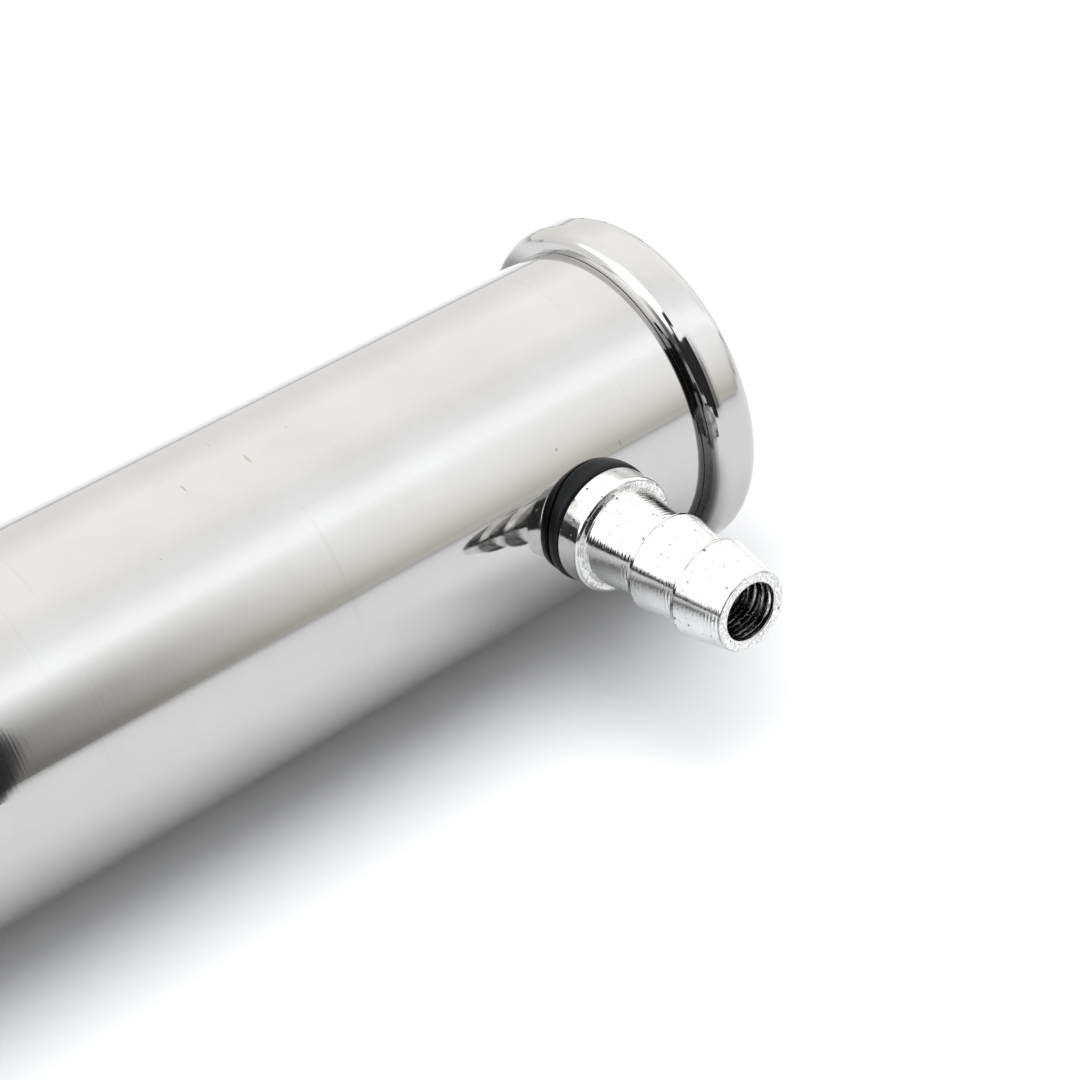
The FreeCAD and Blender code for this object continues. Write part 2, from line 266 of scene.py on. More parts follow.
def ring_of(x, radius, window, rest):
    """Points of one ring of the tube wall, on the lines of tube_lines."""
    start = math.asin(WINDOW_HALF_WIDTH / radius)
    angles = np.concatenate([np.arcsin(window / radius), start + (2 * math.pi - 2 * start) * rest])
    return np.stack([np.full(len(angles), x), radius * np.cos(angles), radius * np.sin(angles)], -1)


def round_window(points, xs, first, lines, window_count, radius):
    """Shift the grid about the window, so that the opening has round corners.

    points holds one ring for each of xs, from index first of the window's start.
    """
    rings = WINDOW_RINGS
    last_line = window_count - 1
    ends = (first, first + lines)
    total = points.shape[1]
    flat = points.copy()
    for row in range(ends[0] - rings + 1, ends[1] + rings):
        out_row = max(ends[0] - row, row - ends[1], 0)
        for line in range(-rings + 1, last_line + rings):
            out_line = max(-line, line - last_line, 0)
            ring = max(out_row, out_line)
            on_edge = row in ends or line in (0, last_line)
            if ring == 0 and not on_edge:
                continue
            size = WINDOW_CORNER * (1 - ring / rings)
            x_way = 1 if row - ends[0] > ends[1] - row else -1
            z_way = 1 if line > last_line - line else -1
            corner_row = ends[1] + ring if x_way > 0 else ends[0] - ring
            corner_line = last_line + ring if z_way > 0 else -ring
            corner_x = xs[corner_row]
            corner_z = flat[corner_row, corner_line % total, 2]
            x, z = flat[row, line % total, 0], flat[row, line % total, 2]
            along = max(abs(x - corner_x), abs(z - corner_z))
            if along >= size:
                continue
            turn = math.pi / 4 * (1 - along / size)
            side, up = size * math.sin(turn), size * math.cos(turn)
            if abs(x - corner_x) < abs(z - corner_z):
                side, up = up, side
            x = corner_x - x_way * (size - side)
            z = corner_z - z_way * (size - up)
            points[row, line % total] = (x, math.sqrt(radius ** 2 - z ** 2), z)


def make_tube_wall(material):
    """Tube wall with its rounded window, its snap ring groove and its hole for the barb."""
    window, rest = tube_lines()
    fine = WINDOW_STEP * np.arange(13)
    start, end = WINDOW
    inside_half = TUBE_HALF - TUBE_CHAMFER
    xs = [
        *np.linspace(-inside_half, start - fine[-1], 9)[:-1], *(start - fine[::-1]),
        *(start + fine[1:]), *np.linspace(start + fine[-1], end - fine[-1], 49)[1:-1],
        *(end - fine[::-1]), *(end + fine[1:]),
        *np.linspace(end + fine[-1], SNAP_GROOVE[0], 7)[1:],
        *np.linspace(SNAP_GROOVE[1], inside_half, 12),
    ]
    first = int(np.argmin(np.abs(np.array(xs) - start)))
    span = int(np.argmin(np.abs(np.array(xs) - end))) - first
    walls = []
    for radius in (TUBE_RADIUS, TUBE_BORE):
        points = np.stack([ring_of(x, radius, window, rest) for x in xs])
        round_window(points, xs, first, span, len(window), radius)
        walls.append(points)
    outer, inner = walls
    near = xs.index(SNAP_GROOVE[1])
    groove = [ring_of(x, SNAP_GROOVE_RADIUS, window, rest) for x in SNAP_GROOVE[::-1]]
    ends = []
    for way in (1, -1):
        corner = [
            (TUBE_HALF - TUBE_EDGE, TUBE_RADIUS),
            (TUBE_HALF - 0.3 * TUBE_EDGE, TUBE_RADIUS - 0.3 * TUBE_EDGE),
            (TUBE_HALF, TUBE_RADIUS - TUBE_EDGE),
            (TUBE_HALF, TUBE_BORE + TUBE_CHAMFER),
        ]
        ends.append([ring_of(way * x, radius, window, rest) for x, radius in corner])
    rows = [*outer, *ends[0], *inner[near:][::-1], *groove, *inner[:near][::-1], *ends[1][::-1]]
    points = np.concatenate(rows)
    lines = len(window) + len(rest)
    last_line = len(window) - 1
    inner_last = len(outer) + len(ends[0]) + len(inner) + len(groove) - 1
    outer_rows = list(range(first, first + span + 1))
    inner_rows = [inner_last - row for row in outer_rows]
    holes = (range(outer_rows[0], outer_rows[-1]), range(inner_rows[-1], inner_rows[0]))
    faces = []
    for row in range(len(rows)):
        for line in range(lines):
            if line < last_line and any(row in hole for hole in holes):
                continue
            here, there = row * lines, (row + 1) % len(rows) * lines
            after = (line + 1) % lines
            faces.append((here + line, here + after, there + after, there + line))

    def opening(hole_rows):
        """Points around the window's opening, in order."""
        loop = [hole_rows[0] * lines + line for line in range(last_line)]
        loop += [row * lines + last_line for row in hole_rows[:-1]]
        loop += [hole_rows[-1] * lines + line for line in range(last_line, 0, -1)]
        return loop + [row * lines for row in hole_rows[:0:-1]]

    outer_loop, inner_loop = opening(outer_rows), opening(inner_rows)
    middle = np.array(((start + end) / 2, 0))
    reach = np.array(((end - start) / 2, WINDOW_HALF_WIDTH)) - WINDOW_CORNER
    loops = [outer_loop]
    flat = points[outer_loop][:, (0, 2)] - middle
    spoke = flat - np.clip(flat, -reach, reach)
    spoke = spoke / np.linalg.norm(spoke, axis=1)[:, None]
    for share in (1 / 3, 2 / 3, 1):
        turn = share * math.pi / 2
        moved = flat + middle - spoke * WINDOW_EDGE * (1 - math.cos(turn))
        height = points[outer_loop][:, 1] - WINDOW_EDGE * math.sin(turn)
        added = np.stack([moved[:, 0], height, moved[:, 1]], -1)
        loops.append(list(range(len(points), len(points) + len(added))))
        points = np.concatenate([points, added])
    loops.append(inner_loop)
    for near_loop, far_loop in zip(loops, loops[1:]):
        for index in range(len(near_loop)):
            after = (index + 1) % len(near_loop)
            faces.append((near_loop[index], near_loop[after], far_loop[after], far_loop[index]))
    wall = make_object("tube_wall", points, faces)
    cut_barb_hole(wall)
    set_wall_normals(wall)
    wall.data.materials.append(material)
    return wall


def cut_barb_hole(wall):
    """Cut the round hole for the barb's stud out of the tube wall."""
    reach = TUBE_RADIUS + 2
    outline = [(0, 0), (0, BARB_HOLE), (reach, BARB_HOLE), (reach, 0)]
    cutter = turned("drill", outline, closed=False, across=True, segments=96)
    cut = wall.modifiers.new("hole", "BOOLEAN")
    cut.operation = "DIFFERENCE"
    cut.solver = "EXACT"
    cut.object = cutter
    evaluated = wall.evaluated_get(bpy.context.evaluated_depsgraph_get())
    result = bpy.data.meshes.new_from_object(evaluated)
    wall.modifiers.clear()
    wall.data = result
    bpy.data.objects.remove(cutter)


def set_wall_normals(wall):
    """Give the tube's round faces the normals of a true cylinder."""
    tolerance = 0.004
    flat = 0.1
    mesh = wall.data
    spots = np.zeros(len(mesh.vertices) * 3)
    mesh.vertices.foreach_get("co", spots)
    spots = spots.reshape(-1, 3)
    radius = np.hypot(spots[:, 1], spots[:, 2]) / MM
    normals = []
    for face in mesh.polygons:
        ring = radius[list(face.vertices)]
        level = abs(face.normal.x)
        for vertex in face.vertices:
            outward = Vector((0, spots[vertex][1], spots[vertex][2])).normalized()
            if level < flat and ring.min() > TUBE_RADIUS - tolerance:
                normals.append(outward)
            elif level < flat and abs(ring - TUBE_BORE).max() < tolerance:
                normals.append(-outward)
            else:
                normals.append(Vector((0, 0, 0)))
    mesh.normals_split_custom_set(normals)


def make_cap(name, side, plug_end, turns, material):
    """End cap with a rounded rim and a threaded plug; side is 1 or -1."""
    fade_length = 0.3
    thread_start = SEAL_GROOVE_END - THREAD_CREST
    thread_end = thread_start - turns * THREAD_PITCH
    corners = [
        (RIM[1], 0, 0),
        (RIM[1], RIM_RADIUS, RIM_FRONT_ROUND),
        (RIM[0], RIM_RADIUS, RIM_BACK_ROUND),
        (RIM[0], PLUG_RADIUS, 0),
        (PLUG_ROOT, PLUG_RADIUS, 0.03),
        (PLUG_ROOT, SEAL_GROOVE, 0.08),
        (SEAL_GROOVE_END, SEAL_GROOVE, 0.08),
        (SEAL_GROOVE_END, PLUG_RADIUS, 0.03),
        (plug_end, PLUG_RADIUS, 0.25),
        (plug_end, CAP_RECESS, 0.15),
        (CAP_RECESS_FLOOR, CAP_RECESS, 0.3),
        (CAP_RECESS_FLOOR, 0, 0),
    ]

    def relief(place, radius, angle):
        """Helical thread on the plug, running out at both ends."""
        on_plug = (radius > PLUG_RADIUS - 0.01) & (place < SEAL_GROOVE_END) & (place > plug_end)
        fade = smooth_step(place, thread_end, thread_end + fade_length)
        fade = fade * smooth_step(thread_start - place, 0, fade_length)
        return -thread_cut(side * place, angle, THREAD_DEPTH) * fade * on_plug

    outline = filled(rounded(corners), 0.06, closed=False)
    cap = turned(name, outline, closed=False, relief=relief)
    if side < 0:
        for vertex in cap.data.vertices:
            vertex.co.x = -vertex.co.x
        cap.data.flip_normals()
    cap.data.materials.append(material)
    return cap


def make_cord_ring(name, place, material):
    """Round-section rubber ring about the tube's axis."""
    steps = 32
    outline = []
    for step in range(steps):
        turn = 2 * math.pi * step / steps
        outline.append((place + SEAL_CORD * math.cos(turn), SEAL_CENTRE + SEAL_CORD * math.sin(turn)))
    ring = turned(name, outline)
    ring.data.materials.append(material)
    return ring


def make_barb(material):
    """Hose barb with its collar, three ridges, threaded stud and drilled gas bore."""
    corners = [
        (STUD_END, GAS_BORE, 0.1),
        (STUD_END, STUD_RADIUS, 0.2),
        (COLLAR[0], STUD_RADIUS, 0.05),
        (COLLAR[0], COLLAR_RADIUS, 0.1),
        (COLLAR[1], COLLAR_RADIUS, 0.24),
        (COLLAR[1], RIDGE_RADIUS, 0.04),
        (RIDGES[1], NECK_RADIUS, 0.05),
        (RIDGES[1], RIDGE_RADIUS, 0.05),
        (RIDGES[1] + RIDGE_LAND, RIDGE_RADIUS, 0.06),
        (RIDGES[2], NECK_RADIUS, 0.05),
        (RIDGES[2], RIDGE_RADIUS, 0.05),
        (RIDGES[2] + RIDGE_LAND, RIDGE_RADIUS, 0.06),
        (BARB_TIP, NECK_RADIUS, 0.07),
        (BARB_TIP, GAS_BORE, 0.07),
    ]

    def relief(place, radius, angle):
        """Stud thread, tool rings on the cones and the drill's torn spirals in the bore."""
        stud = (radius > STUD_RADIUS - 0.01) & (place < COLLAR[0]) & (place > STUD_END + 0.01)
        fade = smooth_step(place, STUD_END, STUD_END + 0.4)
        fade = fade * (1 - smooth_step(place, STUD_THREAD_END - 0.4, STUD_THREAD_END))
        cut = thread_cut(-place, angle, STUD_THREAD_DEPTH) * fade * stud
        cones = (place > COLLAR[1] + 0.1) & (radius > GAS_BORE + 0.3) & (place < BARB_TIP - 0.1)
        rings = sum(share * np.sin(place * rate + start) for rate, start, share in TOOL_RING_WAVES)
        marks = TOOL_RING_DEPTH * rings
        for foot in (*RIDGES[1:], BARB_TIP):
            band = smooth_step(place, foot - 1.2, foot - 0.3) * (place < foot)
            marks = marks + FOOT_RING_DEPTH * band * np.sin(place * 2 * math.pi / FOOT_RING_PITCH)
        bore = (radius < GAS_BORE + 0.01) & (place > STUD_END + 1) & (place < BARB_TIP - 0.08)
        turn = angle / (2 * math.pi)
        first, second = [2 * math.pi * (place / lead + turn) for lead in BORE_SPIRAL_LEADS]
        spiral = np.clip(np.sin(first), 0, 1) * (1 + np.sin(2 * angle + 1))
        spiral = spiral + 0.7 * np.clip(np.sin(second + np.sin(3 * angle)), 0, 1)
        waves = np.sin(5 * angle + 2 * place) * np.sin(3 * angle)
        spiral = BORE_SPIRAL_DEPTH * spiral + BORE_WAVE_DEPTH * waves
        return marks * cones + spiral * bore - cut

    outline = filled(rounded(corners), 0.045)
    barb = turned("barb_shape", outline, across=True, relief=relief, segments=224)
    barb.data.materials.append(material)
    return barb


def make_barb_seal(material):
    """Rubber ring squeezed between the barb's collar and the tube's round wall."""
    around, section = 224, 40
    middle, half = (SEAL_RADIUS + SEAL_BORE) / 2, (SEAL_RADIUS - SEAL_BORE) / 2
    points = []
    for step in range(around):
        angle = 2 * math.pi * step / around
        for index in range(section):
            turn = 2 * math.pi * index / section
            side, up = math.cos(turn), math.sin(turn)
            side = math.copysign(abs(side) ** SEAL_SQUARENESS, side)
            up = math.copysign(abs(up) ** SEAL_SQUARENESS, up)
            radius = middle + half * side
            z = radius * math.sin(angle)
            foot = math.sqrt((TUBE_RADIUS + RUBBER_GAP) ** 2 - z ** 2)
            place = (SEAL_TOP + foot) / 2 + (SEAL_TOP - foot) / 2 * up
            points.append((BARB_PLACE + radius * math.cos(angle), -place, z))
    faces = []
    for step in range(around):
        near, far = step * section, (step + 1) % around * section
        for index in range(section):
            after = (index + 1) % section
            faces.append((near + index, near + after, far + after, far + index))
    ring = make_object("barb_seal", points, faces)
    ring.data.materials.append(material)
    return ring


def make_ceramic(material):
    """Porous ceramic tube, slightly uneven."""
    low, high = CERAMIC
    corners = [
        (low, CERAMIC_BORE, 0.05),
        (low, CERAMIC_RADIUS, CERAMIC_CHAMFER),
        (high, CERAMIC_RADIUS, CERAMIC_CHAMFER),
        (high, CERAMIC_BORE, 0.05),
    ]
    random = np.random.default_rng(5)

    def relief(place, radius, angle):
        """Small unevenness of the fired surface, inwards only."""
        rough = CERAMIC_GRAIN * random.random(place.shape)
        waves = 1 + np.sin(place * 1.7 + 2 * angle) * np.cos(3 * angle - place * 0.6)
        return -(rough + CERAMIC_WAVE * waves) * (radius > CERAMIC_RADIUS - 0.01)

    ceramic = turned("ceramic_shape", filled(rounded(corners), 0.3), relief=relief, segments=160)
    ceramic.data.materials.append(material)
    return ceramic


# Materials

def node(tree, kind, inputs=None, **settings):
    """Add a node; an input given as a socket is linked, any other value is set."""
    made = tree.nodes.new(kind)
    for name, value in settings.items():
        setattr(made, name, value)
    for key, value in (inputs or {}).items():
        if isinstance(value, bpy.types.NodeSocket):
            tree.links.new(value, made.inputs[key])
        else:
            made.inputs[key].default_value = value
    return made


def new_material(name, **settings):
    """Start a material and set constant inputs of its shader."""
    material = bpy.data.materials.new(name)
    material.use_nodes = True
    tree = material.node_tree
    shader = tree.nodes["Principled BSDF"]
    for key, value in settings.items():
        shader.inputs[key.replace("_", " ")].default_value = value
    return material, tree, shader


def stretched(tree, scale):
    """Object coordinates stretched by a scale along each axis, in features per metre."""
    place = node(tree, "ShaderNodeTexCoord").outputs["Object"]
    return node(tree, "ShaderNodeMapping", {"Vector": place, "Scale": scale}).outputs["Vector"]


def noise(tree, scale, detail=2.0, roughness=0.5):
    """Noise with its own features per metre along each axis."""
    made = node(tree, "ShaderNodeTexNoise", {
        "Vector": stretched(tree, scale), "Scale": 1.0, "Detail": detail, "Roughness": roughness,
    })
    return made.outputs["Fac"]


def calculate(tree, operation, first, second=0.5, third=0.5):
    """One arithmetic step on sockets or numbers."""
    made = node(tree, "ShaderNodeMath", {0: first, 1: second, 2: third}, operation=operation)
    return made.outputs[0]


def spread(tree, value, low, high, new_low=0.0, new_high=1.0, smooth=False):
    """Map a socket's range low to high onto new_low to new_high."""
    made = node(tree, "ShaderNodeMapRange", {
        "Value": value, "From Min": low, "From Max": high, "To Min": new_low, "To Max": new_high,
    }, interpolation_type="SMOOTHSTEP" if smooth else "LINEAR")
    return made.outputs["Result"]


def pits(tree, scale, size, share):
    """Sparse round specks: 1 inside one; size is a share of a cell and share how many have one."""
    cell = node(tree, "ShaderNodeTexVoronoi", {"Vector": stretched(tree, scale), "Scale": 1.0})
    chance = node(tree, "ShaderNodeSeparateColor", {"Color": cell.outputs["Color"]}).outputs["Red"]
    reach = calculate(tree, "MULTIPLY", spread(tree, chance, 1 - share, 1.0, 0.25, 1.0), size)
    inside = calculate(tree, "SUBTRACT", reach, cell.outputs["Distance"])
    return spread(tree, inside, 0.0, size * 0.3)


def mix_inputs(tree, share, first, second):
    """Mix two colours, each given as a socket or as three numbers."""
    made = node(tree, "ShaderNodeMix", data_type="RGBA")
    for index, value in ((0, share), (6, first), (7, second)):
        if isinstance(value, bpy.types.NodeSocket):
            tree.links.new(value, made.inputs[index])
        else:
            made.inputs[index].default_value = value if index == 0 else (*value, 1.0)
    return made.outputs[2]


def bump(tree, height, distance, below=None):
    """Bump from a height socket whose full range is a distance in metres."""
    inputs = {"Height": height, "Distance": distance, "Strength": 1.0}
    if below is not None:
        inputs["Normal"] = below
    return node(tree, "ShaderNodeBump", inputs).outputs["Normal"]


def painted_crease_shade(tree):
    """Painted shade in the crease behind the rims: how far it darkens the steel, most in the crease's
    lower part.
    """
    place = node(tree, "ShaderNodeTexCoord").outputs["Object"]
    parts = node(tree, "ShaderNodeSeparateXYZ", {0: place})
    along = calculate(tree, "ABSOLUTE", parts.outputs["X"])
    deep = spread(tree, along, *[(RIM[0] + step) * MM for step in PAINTED_SHADE_DEPTH], 1.0, 0.0, smooth=True)
    low = spread(tree, parts.outputs["Z"], *[step * MM for step in PAINTED_SHADE_TOP], 1.0, 0.0, smooth=True)
    return calculate(tree, "MULTIPLY", calculate(tree, "MULTIPLY", deep, low), PAINTED_CREASE_SHADE)


def polished_steel(name, with_painted_shade=False):
    """Mirror-polished steel: fine lines around the tube, slight waves, pits and scratches."""
    material, tree, shader = new_material(name, Metallic=1.0)
    waves = noise(tree, (60, 140, 140), 1.0)
    lines = noise(tree, (7000, 160, 160), 3.0, 0.6)
    specks = pits(tree, (700, 700, 700), 0.09, 0.22)
    dents = pits(tree, (230, 230, 230), 0.05, 0.3)
    scratches = pits(tree, (1500, 330, 330), 0.13, 0.1)
    marks = calculate(tree, "MAXIMUM", specks, calculate(tree, "MAXIMUM", dents, scratches))
    normal = bump(tree, waves, 3e-5)
    normal = bump(tree, lines, 4e-7, normal)
    normal = bump(tree, calculate(tree, "MULTIPLY", marks, -1.0), 3e-6, normal)
    cloud = spread(tree, noise(tree, (220, 220, 220), 4.0, 0.6), 0.3, 0.7)
    bright = mix_inputs(tree, cloud, (0.472, 0.465, 0.459), (0.498, 0.496, 0.494))
    hairs = spread(tree, noise(tree, (2600, 45, 45), 2.0, 0.5), 0.63, 0.72)
    worn = calculate(tree, "MULTIPLY", hairs, spread(tree, noise(tree, (120, 120, 120)), 0.45, 0.6))
    bright = mix_inputs(tree, calculate(tree, "MULTIPLY", worn, 0.16), bright, (0.365, 0.357, 0.348))
    colour = mix_inputs(tree, calculate(tree, "MULTIPLY", marks, 0.5), bright, (0.25, 0.235, 0.22))
    # Painted shade: the crease behind each rim darkens to near black, most in its lower part.
    if with_painted_shade:
        colour = mix_inputs(tree, painted_crease_shade(tree), colour, (0.03, 0.032, 0.036))
    tree.links.new(colour, shader.inputs["Base Color"])
    rough = spread(tree, cloud, 0.0, 1.0, 0.045, 0.07)
    rough = calculate(tree, "MULTIPLY_ADD", marks, 0.2, rough)
    tree.links.new(rough, shader.inputs["Roughness"])
    tree.links.new(normal, shader.inputs["Normal"])
    return material


def machined_aluminium():
    """Bright turned aluminium: tool rings, pits, sandy end faces and patchy dark lines along the
    edges.
    """
    material, tree, shader = new_material("machined_aluminium", Metallic=1.0)
    rings = noise(tree, (60, 9000, 60), 3.0, 0.7)
    grain = noise(tree, (5000, 5000, 5000), 3.0, 0.6)
    specks = pits(tree, (1500, 1500, 1500), 0.17, 0.5)
    dirt = pits(tree, (3000, 3000, 3000), 0.26, 0.3)
    dust = pits(tree, (6500, 6500, 6500), 0.3, 0.2)
    marks = calculate(tree, "MAXIMUM", specks, calculate(tree, "MAXIMUM", dirt, dust))
    normal = bump(tree, rings, 4e-6)
    normal = bump(tree, grain, 3e-6, normal)
    normal = bump(tree, calculate(tree, "MULTIPLY", marks, -1.0), 2.5e-5, normal)
    cloud = spread(tree, noise(tree, (700, 700, 700), 3.0, 0.6), 0.3, 0.7)
    spot = node(tree, "ShaderNodeTexCoord")
    facing = node(tree, "ShaderNodeSeparateXYZ", {0: spot.outputs["Normal"]}).outputs["Y"]
    along = node(tree, "ShaderNodeSeparateXYZ", {0: spot.outputs["Object"]}).outputs["Y"]
    on_face = spread(tree, facing, -0.85, -0.97)
    off_face = spread(tree, facing, -0.97, -0.9)
    edges = 0.0
    for edge in (COLLAR[1], RIDGES[1] + RIDGE_LAND, RIDGES[2] + RIDGE_LAND, BARB_TIP):
        gap = calculate(tree, "ABSOLUTE", calculate(tree, "ADD", along, (edge - EDGE_INSET) * MM))
        line = spread(tree, gap, EDGE_LINE[0] * MM, EDGE_LINE[1] * MM, 1.0, 0.0)
        edges = calculate(tree, "MAXIMUM", edges, line)
    worn = spread(tree, noise(tree, (1300, 1300, 1300), 3.0, 0.6), 0.35, 0.6, 0.25, 0.8)
    edges = calculate(tree, "MULTIPLY", calculate(tree, "MULTIPLY", edges, off_face), worn)
    sand = spread(tree, noise(tree, (9000, 9000, 9000), 4.0, 0.7), 0.38, 0.62)
    bright = mix_inputs(tree, cloud, (0.67, 0.67, 0.665), (0.81, 0.81, 0.805))
    sanded = mix_inputs(tree, sand, (0.42, 0.42, 0.415), (0.86, 0.86, 0.85))
    bright = mix_inputs(tree, on_face, bright, sanded)
    bright = mix_inputs(tree, edges, bright, (0.2, 0.2, 0.205))
    colour = mix_inputs(tree, calculate(tree, "MULTIPLY", marks, 0.8), bright, (0.08, 0.08, 0.085))
    tree.links.new(colour, shader.inputs["Base Color"])
    rough = spread(tree, rings, 0.3, 0.7, 0.07, 0.17)
    rough = calculate(tree, "MULTIPLY_ADD", marks, 0.3, rough)
    tree.links.new(rough, shader.inputs["Roughness"])
    tree.links.new(normal, shader.inputs["Normal"])
    return material


def plain_steel():
    """Plain machined steel with turning lines."""
    material, tree, shader = new_material("plain_steel", Metallic=1.0)
    lines = noise(tree, (5000, 200, 200), 2.0, 0.6)
    cloud = noise(tree, (300, 300, 300), 3.0)
    colour = mix_inputs(tree, cloud, (0.42, 0.415, 0.41), (0.5, 0.495, 0.49))
    tree.links.new(colour, shader.inputs["Base Color"])
    tree.links.new(spread(tree, lines, 0.3, 0.7, 0.24, 0.38), shader.inputs["Roughness"])
    tree.links.new(bump(tree, lines, 2e-6), shader.inputs["Normal"])
    return material


def soft_material(name, dark, light, low, high, grain, depth, shine=0.5):
    """Rubber or plastic: two close colours, uneven roughness and a fine grain."""
    material, tree, shader = new_material(name)
    shader.inputs["Specular IOR Level"].default_value = shine
    cloud = spread(tree, noise(tree, (400, 400, 400), 4.0, 0.6), 0.3, 0.7)
    tree.links.new(mix_inputs(tree, cloud, dark, light), shader.inputs["Base Color"])
    fine = noise(tree, (grain, grain, grain), 3.0, 0.6)
    tree.links.new(spread(tree, fine, 0.3, 0.7, low, high), shader.inputs["Roughness"])
    tree.links.new(bump(tree, fine, depth), shader.inputs["Normal"])
    return material


def porous_ceramic():
    """White fired ceramic with open pores."""
    material, tree, shader = new_material("porous_ceramic")
    pores = pits(tree, (3600, 3600, 3600), 0.34, 0.7)
    grain = noise(tree, (9000, 9000, 9000), 3.0, 0.7)
    cloud = spread(tree, noise(tree, (250, 250, 250), 3.0), 0.3, 0.7)
    white = mix_inputs(tree, cloud, (0.78, 0.765, 0.73), (0.86, 0.85, 0.825))
    colour = mix_inputs(tree, calculate(tree, "MULTIPLY", pores, 0.45), white, (0.5, 0.48, 0.44))
    tree.links.new(colour, shader.inputs["Base Color"])
    tree.links.new(spread(tree, grain, 0.3, 0.7, 0.8, 0.95), shader.inputs["Roughness"])
    height = calculate(tree, "SUBTRACT", calculate(tree, "MULTIPLY", grain, 0.5), pores)
    tree.links.new(bump(tree, height, 3e-5), shader.inputs["Normal"])
    return material


# Stage

# Brightness of the studio around the tube, by the angle from the horizon in front (-Y) over
# the top to the horizon behind, and the red and blue shares of each band.
STUDIO = (
    (-10, 0.80, 1.02, 0.97), (4, 0.72, 1.03, 0.94), (13, 1.0, 1.02, 0.95), (22, 1.2, 1.01, 0.97),
    (32, 1.34, 1.0, 0.99), (44, 1.45, 0.99, 1.0), (52, 1.64, 0.99, 1.01), (59, 1.6, 0.99, 1.01),
    (70, 1.36, 0.99, 1.01), (84, 1.3, 1.0, 1.0), (100, 1.42, 1.01, 0.98), (135, 1.44, 1.01, 0.98),
    (160, 1.18, 1.01, 0.98), (190, 1.0, 1.0, 1.0),
)
# Brightness in the bands' table that counts as full, and the world's strength at full.
STUDIO_TOP = 2.0
STUDIO_POWER = 2.3
# Darker zone in front, where the camera is: how dark, where it fades in the size of the
# direction's X share, and the angles between which it fades out upwards.
NEAR_SHADE = 0.7
NEAR_SIDE = (0.24, 0.46)
NEAR_ANGLES = (22, 55)
# Bright patch high towards -X: the share that it adds, where it begins and is full in the
# direction's X share, and the angles between which it fades in and out.
FAR_PATCH = 0.75
FAR_PATCH_SIDE = (-0.48, -0.62)
FAR_PATCH_ANGLES = (60, 80, 150, 162)
# Dark patch straight towards -X: where it fades out in the direction's X share, and how dark.
FAR_DARK_SIDE = (-0.99, -0.9)
FAR_DARK = 0.9
# Black card: its place in Y and its corners in X and Z.
DARK_CARD_PLACE = -100.0
DARK_CARD = (
    (-420.0, -8.5), (28.6, -8.5), (40.6, 105.0), (-120.0, 105.0), (-170.0, 280.0), (-420.0, 280.0),
)
# Share of the studio's light that reaches matt surfaces; the key light gives the rest.
STUDIO_FILL = 0.42
# Brightness that the camera sees beyond the floor, like that of the floor far away.
BACKDROP = 0.67
# Key light's diameter and place in metres, and its power in watts.
KEY_SIZE = 0.5
KEY_PLACE = (-0.02, 0.03, 0.36)
KEY_POWER = 1.72


def make_studio():
    """World light: soft bands over the tube, dark and bright patches, and a plain backdrop."""
    world = bpy.data.worlds.new("studio")
    bpy.context.scene.world = world
    world.use_nodes = True
    tree = world.node_tree
    tree.nodes.clear()
    way = node(tree, "ShaderNodeTexCoord").outputs["Generated"]
    parts = node(tree, "ShaderNodeSeparateXYZ", {0: way})
    front = calculate(tree, "MULTIPLY", parts.outputs["Y"], -1.0)
    height = calculate(tree, "ARCTAN2", parts.outputs["Z"], front)
    degrees = calculate(tree, "MULTIPLY", height, 180 / math.pi)
    low, high = STUDIO[0][0], STUDIO[-1][0]
    ramp = node(tree, "ShaderNodeValToRGB", {"Fac": spread(tree, degrees, low, high)})
    stops = ramp.color_ramp.elements
    while len(stops) < len(STUDIO):
        stops.new(1.0)
    for stop, (angle, bright, red, blue) in zip(stops, STUDIO):
        stop.position = (angle - low) / (high - low)
        share = bright / STUDIO_TOP
        stop.color = (share * red, share, share * blue, 1.0)
    side = calculate(tree, "ABSOLUTE", parts.outputs["X"])
    near = spread(tree, side, *NEAR_SIDE, NEAR_SHADE, 0.0, smooth=True)
    level = spread(tree, degrees, *NEAR_ANGLES, 1.0, 0.0, smooth=True)
    shade = calculate(tree, "SUBTRACT", 1.0, calculate(tree, "MULTIPLY", near, level))
    strength = calculate(tree, "MULTIPLY", shade, STUDIO_POWER)
    far = spread(tree, parts.outputs["X"], *FAR_PATCH_SIDE[::-1], 1.0, 0.0, smooth=True)
    rise, full, fall, end = FAR_PATCH_ANGLES
    above = spread(tree, degrees, rise, full, 0.0, 1.0, smooth=True)
    before = spread(tree, degrees, fall, end, 1.0, 0.0, smooth=True)
    far = calculate(tree, "MULTIPLY", calculate(tree, "MULTIPLY", above, before), far)
    added = calculate(tree, "MULTIPLY_ADD", far, FAR_PATCH, 1.0)
    strength = calculate(tree, "MULTIPLY", strength, added)
    dark = spread(tree, parts.outputs["X"], *FAR_DARK_SIDE, 1 - FAR_DARK, 1.0, smooth=True)
    strength = calculate(tree, "MULTIPLY", strength, dark)
    path = node(tree, "ShaderNodeLightPath")
    fill = calculate(tree, "MULTIPLY_ADD", path.outputs["Is Diffuse Ray"], STUDIO_FILL - 1.0, 1.0)
    strength = calculate(tree, "MULTIPLY", strength, fill)
    lit = node(tree, "ShaderNodeBackground", {"Color": ramp.outputs["Color"], "Strength": strength})
    plain = node(tree, "ShaderNodeBackground", {"Color": (1, 1, 1, 1), "Strength": BACKDROP})
    seen = path.outputs["Is Camera Ray"]
    both = node(tree, "ShaderNodeMixShader", {0: seen, 1: lit.outputs[0], 2: plain.outputs[0]})
    node(tree, "ShaderNodeOutputWorld", {"Surface": both.outputs[0]})


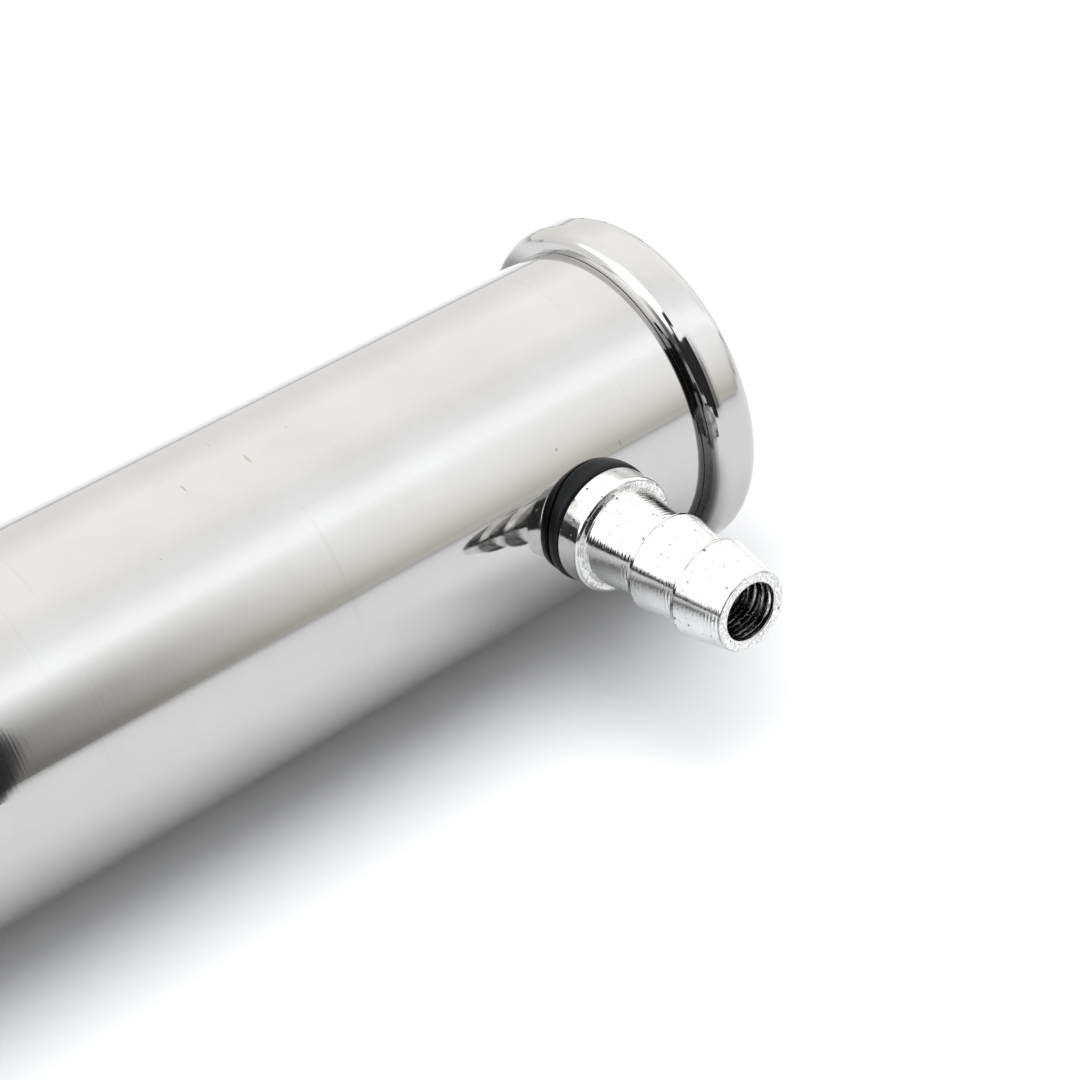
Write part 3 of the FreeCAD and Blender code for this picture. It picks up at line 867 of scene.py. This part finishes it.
def make_floor():
    """Plain pale floor that the rims lie on."""
    half = 3.0
    height = -RIM_RADIUS * MM
    mesh = bpy.data.meshes.new("floor")
    corners = [(x * half, y * half, height) for x, y in ((-1, -1), (1, -1), (1, 1), (-1, 1))]
    mesh.from_pydata(corners, [], [(0, 1, 2, 3)])
    floor = bpy.data.objects.new("floor", mesh)
    bpy.context.scene.collection.objects.link(floor)
    material, _, shader = new_material("floor", Roughness=0.9)
    shader.inputs["Specular IOR Level"].default_value = 0.0
    shader.inputs["Base Color"].default_value = (0.848, 0.855, 0.872, 1.0)
    mesh.materials.append(material)


def make_dark_card():
    """Black card in front of the tube, which only mirrors see."""
    corners = [(x, DARK_CARD_PLACE, z) for x, z in DARK_CARD]
    mesh = bpy.data.meshes.new("dark_card")
    mesh.from_pydata([Vector(corner) * MM for corner in corners], [], [tuple(range(len(corners)))])
    card = bpy.data.objects.new("dark_card", mesh)
    bpy.context.scene.collection.objects.link(card)
    material, _, shader = new_material("dark_card", Roughness=1.0)
    shader.inputs["Base Color"].default_value = (0.012, 0.012, 0.013, 1.0)
    mesh.materials.append(material)
    card.visible_camera = False
    card.visible_diffuse = False
    card.visible_shadow = False


def make_key_light():
    """Wide soft light above the tube."""
    light = bpy.data.lights.new("key", "AREA")
    light.shape = "DISK"
    light.size = KEY_SIZE
    light.energy = KEY_POWER
    lamp = bpy.data.objects.new("key", light)
    lamp.location = KEY_PLACE
    lamp.rotation_mode = "QUATERNION"
    lamp.rotation_quaternion = (-lamp.location).to_track_quat("-Z", "Y")
    lamp.visible_glossy = False
    bpy.context.scene.collection.objects.link(lamp)


def make_camera():
    """Camera low in front of the far end, looking along the tube to the barb."""
    place = Vector((-26.57, -88.86, 71.52)) * MM
    aim = Vector((32.07, -7.3, 0)) * MM
    roll = math.radians(-7.0)
    data = bpy.data.cameras.new("camera")
    data.sensor_width = 36.0
    data.lens = 86.84
    data.clip_start = 0.001
    data.clip_end = 10.0
    camera = bpy.data.objects.new("camera", data)
    camera.location = place
    camera.rotation_mode = "QUATERNION"
    level = (aim - place).to_track_quat("-Z", "Y")
    camera.rotation_quaternion = level @ Quaternion((0, 0, 1), roll)
    bpy.context.scene.collection.objects.link(camera)
    bpy.context.scene.camera = camera


def main():
    steel = polished_steel("polished_steel")
    # The caps' steel carries painted shade in the crease behind each rim.
    cap_steel_painted_shade = polished_steel("cap_steel_painted_shade", with_painted_shade=True)
    rubber = soft_material(
        "black_rubber", (0.003, 0.0035, 0.004), (0.006, 0.0065, 0.0075), 0.3, 0.42, 3000, 2e-6, 0.16,
    )
    ceramic = porous_ceramic()
    other = {
        "plain_steel": plain_steel(),
        "black_rubber": rubber,
        "gasket_rubber": soft_material(
            "grey_rubber", (0.3, 0.3, 0.29), (0.36, 0.36, 0.35), 0.5, 0.6, 2500, 4e-6,
        ),
        "holder_plastic": soft_material(
            "black_plastic", (0.012, 0.012, 0.013), (0.02, 0.02, 0.021), 0.35, 0.5, 4000, 3e-6,
        ),
    }
    tube_wall = make_tube_wall(steel)
    inlet_cap = make_cap("inlet_cap_shape", 1, *INLET_PLUG, cap_steel_painted_shade)
    far_cap = make_cap("far_cap_shape", -1, *FAR_PLUG, cap_steel_painted_shade)
    seal_place = PLUG_ROOT - SEAL_INSET
    inlet_seal = make_cord_ring("inlet_cap_seal", seal_place, rubber)
    far_seal = make_cord_ring("far_cap_seal", -seal_place, rubber)
    pieces = [
        (tube_wall, "body", "body_tube", "polished_steel"),
        (inlet_cap, "inlet_cap", "inlet_end_cap", "polished_steel"),
        (far_cap, "far_cap", "far_end_cap", "polished_steel"),
        (inlet_seal, "inlet_cap_ring", "inlet_cap_o_ring", "black_rubber"),
        (far_seal, "far_cap_ring", "far_cap_o_ring", "black_rubber"),
        (make_barb(machined_aluminium()), "barb", "hose_barb", "barb_metal"),
        (make_barb_seal(rubber), "barb_ring", "barb_o_ring", "black_rubber"),
        (make_ceramic(ceramic), "body", "ceramic_tube", "porous_ceramic"),
    ]
    for piece, body, cad_node, slot in pieces:
        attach(piece, body)
        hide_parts(cad_node)
    replaced = {entry[2] for entry in pieces}
    for part in frame["record"]["subparts"]:
        if part["node"] in replaced:
            continue
        mesh = frame["nodes"][part["node"]].data
        mesh.materials.clear()
        mesh.materials.append(other[part["material_slot"]])
    make_floor()
    make_studio()
    make_dark_card()
    make_key_light()
    make_camera()
    bpy.context.scene.view_settings.view_transform = "Standard"


main()
